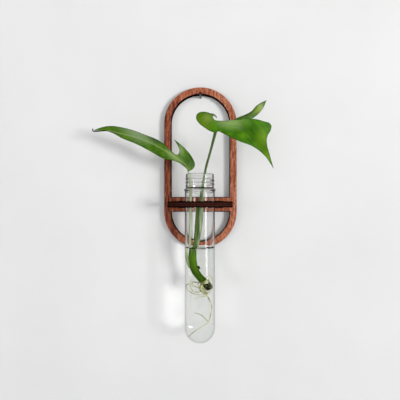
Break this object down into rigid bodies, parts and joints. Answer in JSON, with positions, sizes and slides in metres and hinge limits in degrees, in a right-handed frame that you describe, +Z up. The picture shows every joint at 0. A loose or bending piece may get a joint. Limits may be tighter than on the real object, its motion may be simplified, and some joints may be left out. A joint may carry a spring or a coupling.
{
  "type": "test tube vase",
  "caption": "Wall-hung propagation vase: a round-ended wooden frame on a nail, with a shelf that holds a screw-neck glass test tube of water and a rooting leaf cutting.",
  "frame": {"origin": "on the line about which the frame swings, where that line meets the wall; the nail's axis crosses the same line 5 mm out, at the frame's front face", "axes": "+Y into the wall, the front faces -Y; +Z up along the tube; +X to the right as seen from the front"},
  "size_m": [0.1495, 0.0615, 0.2181],
  "materials": {
    "nail_steel": "dull drawn wire",
    "frame_wood": "oiled reddish plywood with charred cut edges",
    "shelf_wood": "oiled reddish plywood with charred cut edges",
    "clear_glass": "clear blown glass",
    "water": "clear water",
    "green_cane": "smooth green stem",
    "old_cane": "dark old stem",
    "petiole": "smooth green stalk",
    "leaf": "waxy green leaf",
    "root": "pale wet root"
  },
  "bodies": {
    "nail": {"wall_nail": "nail_steel"},
    "holder": {"frame": "frame_wood", "shelf": "shelf_wood"},
    "tube": {"test_tube": "clear_glass", "water": "water"},
    "cutting": {"cane": "green_cane", "cane_end": "old_cane", "side_bud": "old_cane", "left_petiole": "petiole", "left_leaf": "leaf", "right_petiole": "petiole", "right_leaf": "leaf", "roots": "root", "long_root": "root"}
  },
  "joints": [
    {"name": "holder_swing", "type": "hinge", "parent": "nail", "child": "holder", "pos_m": [0, 0, 0], "axis": [0, 1, 0], "range_deg": [-30, 30]},
    {"name": "tube_lift", "type": "slide", "parent": "holder", "child": "tube", "axis": [0, 0, 1], "range_m": [-0.0082, 0.125]},
    {"name": "cutting_lift", "type": "slide", "parent": "tube", "child": "cutting", "axis": [0, 0, 1], "range_m": [0, 0.14], "deforming": ["water"]}
  ]
}
